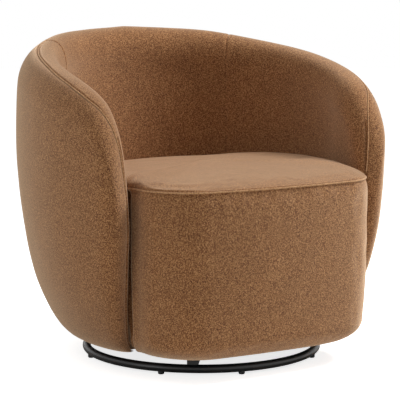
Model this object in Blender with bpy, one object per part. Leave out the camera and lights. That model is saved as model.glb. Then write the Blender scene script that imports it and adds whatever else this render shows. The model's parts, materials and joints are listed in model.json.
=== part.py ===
# Swivel accent chair: a barrel seat, upholstered over plywood ribs, that turns on a round tube base.
# Metres, +Z up, the front towards -Y. The origin lies on the floor under the middle of the chair's plan,
# and everything is built about the swivel axis, which stands a little in front of it.
import math

import bmesh
import bpy
import numpy as np
from mathutils import Vector

# Overall sizes
overall_height = 0.737          # floor to the top of the back
wall_radius = 0.4207            # outside of the barrel wall where it is widest
wall_thickness = 0.098          # padded wall above the seat
wall_foot_thickness = 0.060     # padded wall at its foot
wall_full_height = 0.250        # height from which the wall has its full thickness
arm_angle = math.radians(122.5)     # from the back round to each arm's front edge
arm_spread = 0.0135                # how far the lower arm fronts stand outside the round of the plan
block_half_width = 0.288        # seat block between the arm fronts
block_front = 0.336             # swivel axis to the middle of the seat block's front
seat_seam_height = 0.412        # floor to the seam between seat top and front
seat_crown = 0.028              # rise of the seat above its seam
seat_fall = 0.019               # how far the seat's back edge lies below its front edge

# Fits
touch_gap = 0.0003              # between pieces that rest on or against each other
hole_gap = 0.0003               # round a pin or bolt in its hole
cut_overrun = 0.004             # by which a cutter passes the faces it cuts

# Base
ring_radius = 0.265
ring_tube_radius = 0.0095
glide_drop = 0.005              # glide's sole below the tube
glide_radius = 0.007
glide_count = 8
glide_half_spread = math.radians(19.3)  # either side of each bar end's quarter
base_turn = math.radians(-33.0)         # how the base stands turned under the seat
bar_turn = math.radians(-4.0)           # bars against the quarters of the glides
bar_width = 0.025
bar_height = 0.010
plate_side = 0.150
plate_thickness = 0.0025
bearing_height = 0.0064
bearing_radius = 0.056
bearing_width = 0.008
ball_radius = 0.0030
ball_count = 12
pin_radius = 0.006
pin_head_radius = 0.010
pin_head_height = 0.002
pin_room = 0.003                # free room round and over the pin's head in the board
bolt_radius = 0.003
bolt_head_radius = 0.0055
bolt_head_height = 0.0028
bolt_head_side_share = 0.6         # straight part of its height
bolt_head_top_share = 0.7          # its top's radius
glide_sole_share = 0.8             # glide's sole against its radius
cage_inset_share = 0.4             # cage's faces inside its balls' radius
lower_bolt_circle = 0.082
upper_bolt_circle = 0.094

# Boards and rails
board_thickness = 0.015
dust_cover_thickness = 0.0008
dust_cover_hole_radius = 0.118
rail_thickness = 0.018
rail_top = 0.302
front_rail_inset = 0.062        # front rail's face behind the block's front
side_rail_offset = 0.180        # outer face of the side rails from the middle
rear_rail_offset = 0.150        # rear face of the rear rail behind the swivel axis

# Wall padding and frame
cover_thickness = 0.003         # cloth with its backing
wadding_thickness = 0.009       # under the outer cover
frame_depth = 0.028             # rim, and ribs with their liners, across the wall
frame_room = 0.0015             # behind the outer cover's wadding
rim_height = 0.036
rim_gap = 0.0012                # under the rim, which follows the crest's slope
liner_thickness = 0.0025
rib_thickness = 0.015
rib_count = 5
rib_spread = math.radians(84.0)         # outermost ribs from the back
post_thickness = 0.020
arm_tip_length = 0.049          # rounded end of each arm, in front of its post
inner_taper_length = 0.125      # over which the inner face draws out towards the arm's end
crest_roll = 0.072              # height of the rolled edge at the crest
hem_roll = 0.014                # rounding at the wall's foot
hem_tuck_share = 0.8            # how far the hem closes on its middle
outer_roundness = 2.8           # fullness of the arm end's outer and inner corners
inner_roundness = 2.0
seam_angle = math.radians(17.0)         # crest seam from the top of the roll, outwards
foam_tip_room = 0.006           # more room before the outer cover in the arm's tip
seam_ease_share = 0.4           # of that angle, left at the arm's front edge
piping_radius = 0.0016
piping_stop = 2                 # wall columns that the piping leaves free at each arm end
seam_groove = 0.0046            # groove between the covers that takes the piping
widest_groove_turn = math.radians(5.5)

# Seat
block_corner_radius = 0.100
block_bow = 0.030               # how far the front's middle stands before its corners
block_flare = 0.017             # how far its sides spread behind the corners, to meet the wall
block_flare_length = 0.100
block_lean = 0.008              # how far the front draws in towards its foot
block_foot_roll = 0.045
block_swell = 0.004             # soft bulge of the front between its seams
seam_draw = 0.0035              # how far the covers draw in at the seat seam
seam_draw_height = 0.014        # height over which they do
welt_groove = 0.0052            # between seat cover and front cover, for the welt cord
side_clearance = 0.0040         # seat block to the wall's inner cover
foot_clearance = 0.003          # more of it at the foot
layer_clearance = 0.0012        # between layers whose points don't match
deck_thickness = 0.002
spring_count = 5
spring_spacing = 0.072
spring_wire_radius = 0.0019
spring_half_width = 0.022
spring_rise = 0.007
spring_loops = 7
spring_tail = 0.020
clip_thickness = 0.0012
clip_depth = 0.014
clip_overhang = 0.012
welt_radius = 0.0024

# The barrel wall's outline from foot to crest: height and radius, as shares of the wall's
profile_height_shares = (0.0, 0.04, 0.11, 0.22, 0.37, 0.51, 0.66, 0.80, 0.89, 1.0)
profile_radius_shares = (0.705, 0.775, 0.844, 0.914, 0.962, 0.988, 1.0, 0.992, 0.975, 0.945)
# The crest from the back to the arm's front edge: angle and height, as shares of the arm's and the wall's
crest_angle_shares = (0.0, 0.245, 0.49, 0.653, 0.776, 0.857, 0.914, 0.955, 0.984, 1.0)
crest_height_shares = (1.0, 0.986, 0.944, 0.909, 0.874, 0.842, 0.805, 0.744, 0.657, 0.512)
# The arm's front edge leans back towards its foot: height and angle, as shares
lean_height_shares = (0.0, 0.11, 0.30, 0.42, 1.0)
lean_angle_shares = (0.935, 0.965, 0.99, 1.0, 1.0)
# Where the arm fronts stand out: from this angle on, by height and spread, as shares
spread_start = math.radians(75.0)
spread_height_shares = (0.0, 0.30, 0.45, 0.63, 0.80, 1.0)
spread_shares = (0.8, 1.0, 0.72, 0.5, 0.15, 0.0)

# Layers of the wall: where their shared columns and rows of points lie
closing_turns = np.radians(np.linspace(0, 88.5, 6))
column_count = 23
inner_roll_turns = np.radians([90.0, 120.0, 150.0])
level_shares = (0.045, 0.12, 0.24, 0.42, 0.68)
foam_step_share = 0.04
foam_fill_share = 0.9

# Rows and columns of the seat block's covers and foams
front_cover_reach = math.radians(68.0)
corner_start = math.radians(28.0)
corner_end = math.radians(58.0)
front_row_shares = (0.28, 0.54, 0.78)
foot_turns = np.radians([0.0, 20.0, 39.4, 60.0, 78.0])
seat_loop_shares = (1.0, 0.985, 0.94, 0.84, 0.66, 0.42, 0.16)
crown_fullness = 2.5
# Fuller crown beside the arms: angle from the front, as a share of a half turn, and what it adds
side_fullness = 6.0
side_places = (0.0, 0.24, 0.34, 0.56, 0.80, 1.0)
side_shares = (0.0, 0.0, 1.0, 1.0, 0.0, 0.0)
board_notch = math.radians(2.0)
dust_cover_margin = 0.008

# Heights worked out from the stack on the floor
ring_height = glide_drop + ring_tube_radius
ring_top = ring_height + ring_tube_radius
bar_bottom = ring_top + touch_gap
bar_top = bar_bottom + bar_height
lower_plate_bottom = bar_top + touch_gap
lower_plate_top = lower_plate_bottom + plate_thickness
upper_plate_bottom = lower_plate_top + touch_gap + bearing_height + touch_gap
upper_plate_top = upper_plate_bottom + plate_thickness
board_bottom = upper_plate_top + touch_gap
board_top = board_bottom + board_thickness
underside = board_bottom - touch_gap - dust_cover_thickness
rail_bottom = board_top + touch_gap
wall_height = overall_height - underside
spring_height = rail_top + touch_gap + spring_wire_radius
deck_bottom = spring_height + spring_rise + spring_wire_radius + touch_gap
foam_bottom = deck_bottom + deck_thickness + touch_gap
axis_forward = (wall_radius - block_front) / 2      # swivel axis before the middle of the plan
mid_radius = wall_radius - wall_thickness / 2
outer_cover_depth = cover_thickness + wadding_thickness
back_reach = arm_angle - arm_tip_length / mid_radius    # where the frame ends and the arm's tip starts
back_columns = np.linspace(-back_reach, back_reach, column_count)[1:-1]

# Heights of the front cover's rows, with the slope of its face at each, and its angles from the front
foot_start = underside + block_foot_roll
front_levels = [seat_seam_height - welt_groove / 2, seat_seam_height - seam_draw_height, deck_bottom]
front_levels += [deck_bottom + (foot_start - deck_bottom) * share for share in front_row_shares]
front_turns = [0.0] * len(front_levels) + list(foot_turns)
front_levels += [foot_start - block_foot_roll * math.sin(turn) for turn in foot_turns]
corner = np.linspace(corner_start, corner_end, 8)
beside = np.linspace(corner_end, front_cover_reach, 9)[1:]
middle = np.linspace(-corner_start, corner_start, 7)[1:-1]
front_angles = np.concatenate([-beside[::-1], -corner[::-1], middle, corner, beside])
# the front rail's end stands at one of those angles, so that the foam can lap round its corner
front_rail_half_length = (block_front - front_rail_inset + touch_gap) * math.tan(corner[2]) - touch_gap
rest = np.linspace(front_cover_reach, math.tau - front_cover_reach, 25)[1:-1]
loop_angles = np.concatenate([front_angles, rest])

for thing in list(bpy.data.objects):
    bpy.data.objects.remove(thing, do_unlink=True)


def make_material(name, color, roughness, metallic=0.0):
    material = bpy.data.materials.new(name)
    material.use_nodes = True
    shader = material.node_tree.nodes["Principled BSDF"]
    shader.inputs["Base Color"].default_value = (*color, 1.0)
    shader.inputs["Roughness"].default_value = roughness
    shader.inputs["Metallic"].default_value = metallic
    return material


black_steel = make_material("black_steel", (0.012, 0.012, 0.013), 0.35, 0.6)
zinc_steel = make_material("zinc_steel", (0.55, 0.56, 0.57), 0.35, 1.0)
spring_steel = make_material("spring_steel", (0.20, 0.20, 0.21), 0.40, 1.0)
nylon = make_material("nylon", (0.02, 0.02, 0.02), 0.55)
plywood = make_material("plywood", (0.50, 0.34, 0.19), 0.60)
hardboard = make_material("hardboard", (0.26, 0.16, 0.09), 0.75)
foam = make_material("foam", (0.83, 0.78, 0.62), 0.95)
camel_weave = make_material("camel_weave", (0.22, 0.12, 0.06), 0.90)
black_cloth = make_material("black_cloth", (0.015, 0.015, 0.015), 0.95)

# The two empties that carry the base and the seat stand on the swivel axis
base_centre = bpy.data.objects.new("base_centre", None)
seat_centre = bpy.data.objects.new("seat_centre", None)
for empty in (base_centre, seat_centre):
    bpy.context.collection.objects.link(empty)
    empty.location = (0, -axis_forward, 0)
base_centre.rotation_euler = (0, 0, base_turn)


def add_object(name, mesh, material, parent, smooth_angle=35.0):
    mesh.materials.append(material)
    mesh.shade_smooth()
    mesh.set_sharp_from_angle(angle=math.radians(smooth_angle))
    thing = bpy.data.objects.new(name, mesh)
    bpy.context.collection.objects.link(thing)
    thing.parent = parent
    return thing


def mesh_from(name, verts, faces):
    mesh = bpy.data.meshes.new(name)
    mesh.from_pydata([tuple(v) for v in verts], [], faces)
    shape = bmesh.new()
    shape.from_mesh(mesh)
    bmesh.ops.recalc_face_normals(shape, faces=shape.faces)
    quads = [face for face in shape.faces if len(face.verts) == 4]
    bmesh.ops.triangulate(shape, faces=quads, quad_method="SHORT_EDGE")
    shape.to_mesh(mesh)
    shape.free()
    return mesh


# A closed body between two grids of points of the same size, joined round their edges
def layer_mesh(name, near, far):
    rows, columns = near.shape[:2]
    verts = np.concatenate([near.reshape(-1, 3), far.reshape(-1, 3)])
    step = rows * columns

    def at(layer, row, column):
        return layer * step + row * columns + column

    faces = []
    for row in range(rows - 1):
        for column in range(columns - 1):
            for layer in (0, 1):
                quad = [at(layer, row, column), at(layer, row, column + 1),
                        at(layer, row + 1, column + 1), at(layer, row + 1, column)]
                faces.append(quad if layer == 0 else quad[::-1])
    rim = [(0, column) for column in range(columns)]
    rim += [(row, columns - 1) for row in range(1, rows)]
    rim += [(rows - 1, column) for column in range(columns - 2, -1, -1)]
    rim += [(row, 0) for row in range(rows - 2, 0, -1)]
    for this, following in zip(rim, rim[1:] + rim[:1]):
        faces.append([at(0, *following), at(0, *this), at(1, *this), at(1, *following)])
    return mesh_from(name, verts, faces)


# A closed body from a stack of loops, each end closed by one face
def stack_mesh(name, loops):
    count = len(loops[0])
    verts = np.concatenate(loops)
    faces = []
    for level in range(len(loops) - 1):
        for index in range(count):
            after = (index + 1) % count
            low, high = level * count, (level + 1) * count
            faces.append([low + index, low + after, high + after, high + index])
    faces.append(list(range(count))[::-1])
    faces.append([(len(loops) - 1) * count + index for index in range(count)])
    return mesh_from(name, verts, faces)


# A round body turned about Z from a profile of (radius, height) points that starts and ends on the axis,
# or from a closed profile away from it
def turned_mesh(name, profile, segments, closed=False):
    angles = [math.tau * index / segments for index in range(segments)]
    verts, rings = [], []
    for radius, height in profile:
        if radius == 0:
            verts.append((0, 0, height))
            rings.append([len(verts) - 1] * segments)
        else:
            rings.append(list(range(len(verts), len(verts) + segments)))
            verts += [(radius * math.cos(a), radius * math.sin(a), height) for a in angles]
    pairs = list(zip(rings, rings[1:]))
    if closed:
        pairs.append((rings[-1], rings[0]))
    faces = []
    for low, high in pairs:
        for index in range(segments):
            after = (index + 1) % segments
            quad = [low[index], low[after], high[after], high[index]]
            faces.append(list(dict.fromkeys(quad)))
    return mesh_from(name, verts, faces)


def box_mesh(name, low, high):
    shape = bmesh.new()
    bmesh.ops.create_cube(shape, size=1.0)
    size = Vector(high) - Vector(low)
    bmesh.ops.scale(shape, vec=size, verts=shape.verts)
    bmesh.ops.translate(shape, vec=(Vector(low) + Vector(high)) / 2, verts=shape.verts)
    mesh = bpy.data.meshes.new(name)
    shape.to_mesh(mesh)
    shape.free()
    return mesh


def tube_object(name, points, radius, material, parent, sides=2):
    curve = bpy.data.curves.new(name, "CURVE")
    curve.dimensions = "3D"
    curve.bevel_depth = radius
    curve.bevel_resolution = sides
    curve.use_fill_caps = True
    line = curve.splines.new("POLY")
    line.points.add(len(points) - 1)
    for slot, point in zip(line.points, points):
        slot.co = (*point, 1.0)
    curve.materials.append(material)
    thing = bpy.data.objects.new(name, curve)
    bpy.context.collection.objects.link(thing)
    thing.parent = parent
    return thing


def round_cutter(name, radius, low, high, place, parent):
    cutter = add_object(name, turned_mesh(name, [(0, low), (radius, low), (radius, high), (0, high)], 12),
                        nylon, parent)
    cutter.location = (*place, 0)
    cutter.hide_render = True
    cutter.display_type = "WIRE"
    return cutter


def cut(thing, cutter, operation="DIFFERENCE"):
    step = thing.modifiers.new(cutter.name, "BOOLEAN")
    step.operation = operation
    step.solver = "EXACT"
    step.object = cutter


def bolt_places(circle, turn):
    turns = [turn + math.pi / 2 * index for index in range(4)]
    return [(circle * math.cos(angle), circle * math.sin(angle)) for angle in turns]


# A smooth curve through a table of shares that never overshoots them
def through(x, xs, ys):
    xs, ys = np.asarray(xs, float), np.asarray(ys, float)
    x = np.clip(np.asarray(x, float), xs[0], xs[-1])
    slope = np.diff(ys) / np.diff(xs)
    same = slope[:-1] * slope[1:] > 0
    total = np.where(same, slope[:-1] + slope[1:], 1.0)
    inner = np.where(same, 2 * slope[:-1] * slope[1:] / total, 0.0)
    tangent = np.concatenate([slope[:1], inner, slope[-1:]])
    index = np.clip(np.searchsorted(xs, x, side="right") - 1, 0, len(xs) - 2)
    width = xs[index + 1] - xs[index]
    t = (x - xs[index]) / width
    return (ys[index] * (1 + 2 * t) * (1 - t) ** 2 + ys[index + 1] * t * t * (3 - 2 * t)
            + width * (tangent[index] * t * (1 - t) ** 2 - tangent[index + 1] * t * t * (1 - t)))


# Barrel wall: its form as functions of the angle from the back, the height and the depth below its surface
def height_share(height):
    return (np.asarray(height, float) - underside) / wall_height


def outer_radius(height):
    return wall_radius * through(height_share(height), profile_height_shares, profile_radius_shares)


def thickness_at(height):
    share = np.clip((np.asarray(height, float) - underside) / (wall_full_height - underside), 0, 1)
    return wall_foot_thickness + (wall_thickness - wall_foot_thickness) * share * share * (3 - 2 * share)


def middle_radius(angle, height):
    share = np.clip((np.abs(angle) - spread_start) / (arm_angle - spread_start), 0, 1)
    spread = arm_spread * through(height_share(height), spread_height_shares, spread_shares)
    return outer_radius(height) - thickness_at(height) / 2 + spread * share * share * (3 - 2 * share)


def crest_height(angle):
    return underside + wall_height * through(np.abs(angle) / arm_angle, crest_angle_shares,
                                             crest_height_shares)


def leaned(angle, height):
    return angle * through(height_share(height), lean_height_shares, lean_angle_shares)


# Half the wall's thickness at an angle and height, drawn in round the arm's end and at the hem
def half_thickness(angle, height, side, depth):
    roundness = outer_roundness if side > 0 else inner_roundness
    length = arm_tip_length if side > 0 else inner_taper_length
    reach = (arm_angle - np.abs(angle)) * mid_radius - depth
    share = np.clip(1 - reach / (length - depth), 0, 1)
    tip = (1 - share ** roundness) ** (1 / roundness)
    low = np.clip((underside + hem_roll - height) / hem_roll, 0, 1)
    hem = np.sqrt(1 - (low * hem_tuck_share) ** 2)
    return (thickness_at(height) / 2 - depth) * tip * hem


def wall_point(angle, height, offset):
    turn = leaned(angle, height)
    radius = middle_radius(angle, height) + offset
    return np.stack([-radius * np.sin(turn), radius * np.cos(turn), height + 0 * radius], -1)


# Angles of the wall's columns: even round the back, closing up round each arm end
def wall_columns(depth):
    share = np.sin(closing_turns) ** (2 / outer_roundness)
    length = arm_tip_length - depth
    tips = arm_angle - (length * (1 - share) + depth) / mid_radius
    return np.concatenate([-tips[::-1], back_columns, tips])


# The outside column that a layer's column lies behind: they share their heights and turns
def skin_angle(angle, depth):
    reach = (arm_angle - abs(angle)) * mid_radius
    skin = arm_tip_length * max(reach - depth, 0) / (arm_tip_length - depth)
    return math.copysign(arm_angle - min(skin, reach) / mid_radius, angle)


# Heights that every layer of the wall shares, from its foot to where the crest's roll starts
def wall_levels(angle):
    roll_start = crest_height(angle) - crest_roll
    under_rim = roll_start - rim_height
    between = rail_bottom + (under_rim - rail_bottom) * np.array(level_shares)
    return np.concatenate([[underside, rail_bottom], between, [under_rim, roll_start]])


# Where the roll's surface lies: 0 at its outer foot, a half turn at its inner foot
def rolled(angle, turns, depth):
    start = crest_height(skin_angle(angle, depth)) - crest_roll
    outside = half_thickness(angle, start, 1, depth)
    inside = half_thickness(angle, start, -1, depth)
    spread = np.cos(turns)
    return start + (crest_roll - depth) * np.sin(turns), np.where(spread > 0, outside, inside) * spread


# The crest seam's place on the roll, nearer its top at the arm's front edge, and half its groove's turn
def seam_turn(angle):
    share = np.clip((arm_angle - abs(angle)) * mid_radius / (2 * arm_tip_length), 0, 1)
    return math.pi / 2 - seam_angle * (seam_ease_share + (1 - seam_ease_share) * share)


def groove_turn(angle):
    turn = seam_turn(angle)
    half = half_thickness(angle, crest_height(angle) - crest_roll, 1, 0)
    pace = math.hypot(half * math.sin(turn), crest_roll * math.cos(turn))
    return min(seam_groove / 2 / pace, widest_groove_turn)


def columns_to_grid(columns):
    return np.array(columns).transpose(1, 0, 2)


def outer_surface(depth):
    columns = []
    for angle in wall_columns(depth):
        skin = skin_angle(angle, depth)
        levels = wall_levels(skin)
        end = seam_turn(skin) - groove_turn(skin)
        heights, offsets = rolled(angle, np.linspace(0, end, 4)[1:], depth)
        side = half_thickness(angle, levels, 1, depth)
        columns.append(wall_point(angle, np.concatenate([levels, heights]), np.concatenate([side, offsets])))
    return columns_to_grid(columns)


def inner_surface(depth):
    columns = []
    for angle in wall_columns(depth):
        skin = skin_angle(angle, depth)
        levels = wall_levels(skin)[:0:-1]
        begin = seam_turn(skin) + groove_turn(skin)
        heights, offsets = rolled(angle, np.append(begin, inner_roll_turns), depth)
        side = -half_thickness(angle, levels, -1, depth)
        columns.append(wall_point(angle, np.concatenate([heights, levels]), np.concatenate([offsets, side])))
    return columns_to_grid(columns)


# Outer and inner covers, parted along the crest seam by the piping's groove
def make_wall_covers():
    mesh = layer_mesh("outer_cover", outer_surface(0), outer_surface(outer_cover_depth))
    add_object("outer_cover", mesh, camel_weave, seat_centre, 60.0)
    mesh = layer_mesh("inner_cover", inner_surface(0), inner_surface(cover_thickness))
    add_object("inner_cover", mesh, camel_weave, seat_centre, 60.0)


# The frame in the wall lies a set depth behind the outer cover
def frame_face(heights, depth):
    return thickness_at(heights) / 2 - outer_cover_depth - frame_room - depth


# One column of the foam under the inner cover: before the frame, or past its end at the arm's tip
def foam_column(angle, past_end):
    depth = cover_thickness + touch_gap
    skin = skin_angle(angle, depth)
    levels = wall_levels(skin)[:0:-1]
    heights, offsets = rolled(angle, inner_roll_turns, depth)
    side = -half_thickness(angle, levels, -1, depth)
    near = wall_point(angle, np.concatenate([heights, levels]), np.concatenate([offsets, side]))
    behind = seam_turn(skin) + groove_turn(skin) / 2
    heights, offsets = rolled(angle, np.array([behind, behind / 2]), outer_cover_depth + frame_room)
    if past_end:
        room = half_thickness(angle, levels, 1, outer_cover_depth + foam_tip_room) * foam_fill_share
        over = np.maximum(np.minimum(room, frame_face(levels, 0)), cover_thickness / 2)[:1]
        side = np.maximum(room, cover_thickness / 2) / 2
        offsets = offsets - cover_thickness
    else:
        over = frame_face(levels[:1], 0)
        side = frame_face(levels, frame_depth + touch_gap)
    lifted = levels.copy()
    lifted[0] += touch_gap
    far_heights = np.concatenate([heights, lifted[:1], lifted])
    far = wall_point(angle, far_heights, np.concatenate([offsets, over, side]))
    return near, far


# Foam that laps over the rim and, by a step just past the frame's end, closes the arm in front of its post
def make_wall_foam():
    angles = wall_columns(cover_thickness + touch_gap)[1:-1]
    columns = [foam_column(angle, abs(angle) > back_reach + touch_gap) for angle in angles]
    count = len(closing_turns) - 1
    for index, beyond in ((len(angles) - count, len(angles) - count + 1), (count - 1, count - 2)):
        start, end = foam_column(angles[index], True), columns[beyond]
        step = [low + (high - low) * foam_step_share for low, high in zip(start, end)]
        columns.insert(max(index, beyond), step)
    near, far = (columns_to_grid([column[layer] for column in columns]) for layer in (0, 1))
    add_object("wall_foam", layer_mesh("wall_foam", near, far), foam, seat_centre, 60.0)


def make_piping():
    columns = wall_columns(piping_radius)
    columns = columns[piping_stop:-piping_stop]
    points = []
    for angle in columns:
        turn = seam_turn(skin_angle(angle, piping_radius))
        height, offset = rolled(angle, np.array([turn]), piping_radius)
        points.append(wall_point(angle, height, offset)[0])
    tube_object("wall_piping", points, piping_radius - touch_gap, camel_weave, seat_centre, 1)


# Points of the frame at any angle lie on the straight lines between the wall's columns
def frame_column(angle, heights_at, depth):
    columns = np.concatenate([[-back_reach], back_columns, [back_reach]])
    index = min(max(np.searchsorted(columns, angle) - 1, 0), len(columns) - 2)
    ends = []
    for column in columns[index:index + 2]:
        heights = heights_at(column)
        ends.append(wall_point(column, heights, frame_face(heights, depth)))
    share = (angle - columns[index]) / (columns[index + 1] - columns[index])
    return ends[0] + (ends[1] - ends[0]) * share


def under_rim_levels(angle):
    levels = wall_levels(angle)[1:-1]
    levels[-1] -= rim_gap
    return levels


def rim_levels(angle):
    return wall_levels(angle)[-2:]


def frame_piece(name, material, angles, heights_at, depths):
    faces = [columns_to_grid([frame_column(angle, heights_at, depth) for angle in angles])
             for depth in depths]
    return add_object(name, layer_mesh(name, *faces), material, seat_centre, 50.0)


def make_wall_frame():
    spread = np.concatenate([[-back_reach], back_columns, [back_reach]])
    frame_piece("outer_liner", hardboard, spread, under_rim_levels, (0, liner_thickness))
    frame_piece("inner_liner", hardboard, spread, under_rim_levels,
                (frame_depth - liner_thickness, frame_depth))
    frame_piece("back_rim", plywood, spread, rim_levels, (0, frame_depth))
    between = (liner_thickness + layer_clearance, frame_depth - liner_thickness - layer_clearance)
    half = rib_thickness / 2 / mid_radius
    for index in range(rib_count):
        middle = -rib_spread + 2 * rib_spread * index / (rib_count - 1)
        frame_piece(f"rib_{index + 1}", plywood, (middle - half, middle + half), under_rim_levels, between)
    inset = post_thickness / mid_radius
    frame_piece("front_post_left", plywood, (back_reach - inset, back_reach), under_rim_levels, between)
    frame_piece("front_post_right", plywood, (-back_reach, inset - back_reach), under_rim_levels, between)


# Seat block: its plan as a radius at each angle from the front, clear of the wall's inner face
def inner_face_radius(angles, height):
    back = np.pi - np.abs(angles)
    upright = back / through(height_share(height), lean_height_shares, lean_angle_shares)
    column = np.minimum(upright, arm_angle)
    face = middle_radius(column, height) - half_thickness(column, height, -1, 0.0)
    return np.where(upright < arm_angle, face, np.inf)


def front_radius(angles, inset):
    half_width = block_half_width - inset
    front = block_front - inset
    flat = half_width - block_corner_radius
    quarter = np.linspace(0, math.pi / 2, 24)[1:]
    side = np.linspace(front - block_corner_radius, -half_width, 48)[1:]
    share = np.clip((side[0] - side) / block_flare_length, 0, 1)
    x = np.concatenate([np.linspace(0, flat, 24), flat + block_corner_radius * np.sin(quarter),
                        half_width + block_flare * share * share * (3 - 2 * share)])
    y = np.concatenate([np.full(24, front), front - block_corner_radius * (1 - np.cos(quarter)), side])
    y = y - block_bow * (x / half_width) ** 2
    return np.interp(np.abs(angles), np.arctan2(x, y), np.hypot(x, y))


# Angle of the narrowest place between the arms, behind which the block follows the wall
def narrow_angle(height):
    near = np.linspace(math.pi - leaned(arm_angle, height), math.pi / 2, 60)
    return near[np.argmin(inner_face_radius(near, height) * np.sin(near))]


def loop_at(angles, radius, height):
    return np.stack([radius * np.sin(angles), -radius * np.cos(angles), height + 0 * angles], -1)


def block_loop(angles, height, inset, clearance):
    clearance += foot_clearance * min(max((foot_start - height) / block_foot_roll, 0), 1)
    front = np.where(np.abs(angles) <= narrow_angle(height), front_radius(angles, inset), np.inf)
    turn = clearance / block_half_width
    beside = [inner_face_radius(np.abs(angles) + shift, height)
              for shift in (-turn, -turn / 2, 0, turn / 2, turn)]
    return loop_at(angles, np.minimum(front, np.min(beside, axis=0) - clearance), height)


def block_inset(height):
    low = np.clip((underside + block_foot_roll - height) / block_foot_roll, 0, 1)
    fall = np.clip((seat_seam_height - height) / (seat_seam_height - underside), 0, 1)
    seam = seam_draw * np.exp(-((seat_seam_height - height) / seam_draw_height) ** 2)
    swell = block_swell * np.sin(np.pi * fall)
    return block_foot_roll * (1 - np.sqrt(1 - low * low)) + block_lean * fall + seam - swell


# Front cover: from the seat seam down, and round the block's lower edge
def make_front_cover():
    skin, lining = [], []
    for height, turn in zip(front_levels, front_turns):
        inset = block_inset(height)
        skin.append(block_loop(front_angles, height, inset, side_clearance))
        lift = cover_thickness * math.sin(turn)
        inward = cover_thickness * math.cos(turn)
        lining.append(block_loop(front_angles, height + lift, inset + inward,
                                 side_clearance + cover_thickness))
    mesh = layer_mesh("front_cover", np.array(skin), np.array(lining))
    add_object("front_cover", mesh, camel_weave, seat_centre, 60.0)


# Foam between the front cover and the front rail, lapping round the rail's ends
def make_front_foam():
    depth = cover_thickness + layer_clearance
    angles = front_angles[1:-1]
    face = (block_front - front_rail_inset + touch_gap) / np.cos(angles)
    ends = (front_rail_half_length + touch_gap) / np.maximum(np.sin(np.abs(angles)), touch_gap)
    skin, back = [], []
    for height, turn in zip(front_levels[2:], front_turns[2:]):
        if height < rail_bottom:
            break
        inset = block_inset(height) + depth * math.cos(turn)
        lift = depth * math.sin(turn)
        height = min(height, deck_bottom - touch_gap)
        outer = block_loop(angles, height, inset + lift, side_clearance + depth)
        inner = np.minimum(np.minimum(face, ends), np.hypot(outer[:, 0], outer[:, 1]) - depth)
        skin.append(outer)
        back.append(loop_at(angles, inner, height))
    mesh = layer_mesh("front_foam", np.array(skin), np.array(back))
    add_object("front_foam", mesh, foam, seat_centre, 60.0)


# The seat falls away towards the back from the swivel axis on
def fallen(loop):
    behind = np.maximum(loop[:, 1], 0) / (wall_radius - wall_thickness)
    return loop - np.outer(seat_fall * behind ** 2, (0, 0, 1))


# Crowned top of the seat, as loops from its seam to near the middle
def seat_top_loops(depth, shares):
    edge = seat_seam_height + welt_groove / 2
    outline = block_loop(loop_angles, edge, block_inset(edge) + depth, side_clearance + depth)
    around = np.minimum(loop_angles, math.tau - loop_angles) / math.pi
    fullness = crown_fullness + side_fullness * through(np.abs(around), side_places, side_shares)
    loops = []
    for share in shares:
        loop = outline * (share, share, 0)
        loop[:, 2] = edge + (seat_crown - welt_groove / 2 - depth) * (1 - share ** fullness) ** 0.5
        loops.append(fallen(loop))
    return loops


def make_seat():
    outside = seat_top_loops(0, seat_loop_shares)
    inside = seat_top_loops(cover_thickness, seat_loop_shares)
    add_object("seat_cover", stack_mesh("seat_cover", inside[::-1] + outside), camel_weave, seat_centre, 60.0)

    depth = cover_thickness + touch_gap
    groove_depth = depth + 2 * welt_radius
    stack = [(foam_bottom, depth), (front_levels[1], depth), (front_levels[0], groove_depth),
             (seat_seam_height + welt_groove / 2, groove_depth)]
    loops = []
    for height, inward in stack:
        loop = block_loop(loop_angles, height, block_inset(height) + inward, side_clearance + inward)
        loops.append(fallen(loop) if loops else loop)
    domed = seat_top_loops(depth, seat_loop_shares[2:])
    add_object("seat_foam", stack_mesh("seat_foam", loops + domed), foam, seat_centre, 60.0)

    inset = block_inset(seat_seam_height) + welt_radius / 2
    welt = block_loop(front_angles, seat_seam_height, inset, side_clearance + welt_radius)
    tube_object("seat_welt", welt, welt_radius, camel_weave, seat_centre, 1)


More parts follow.
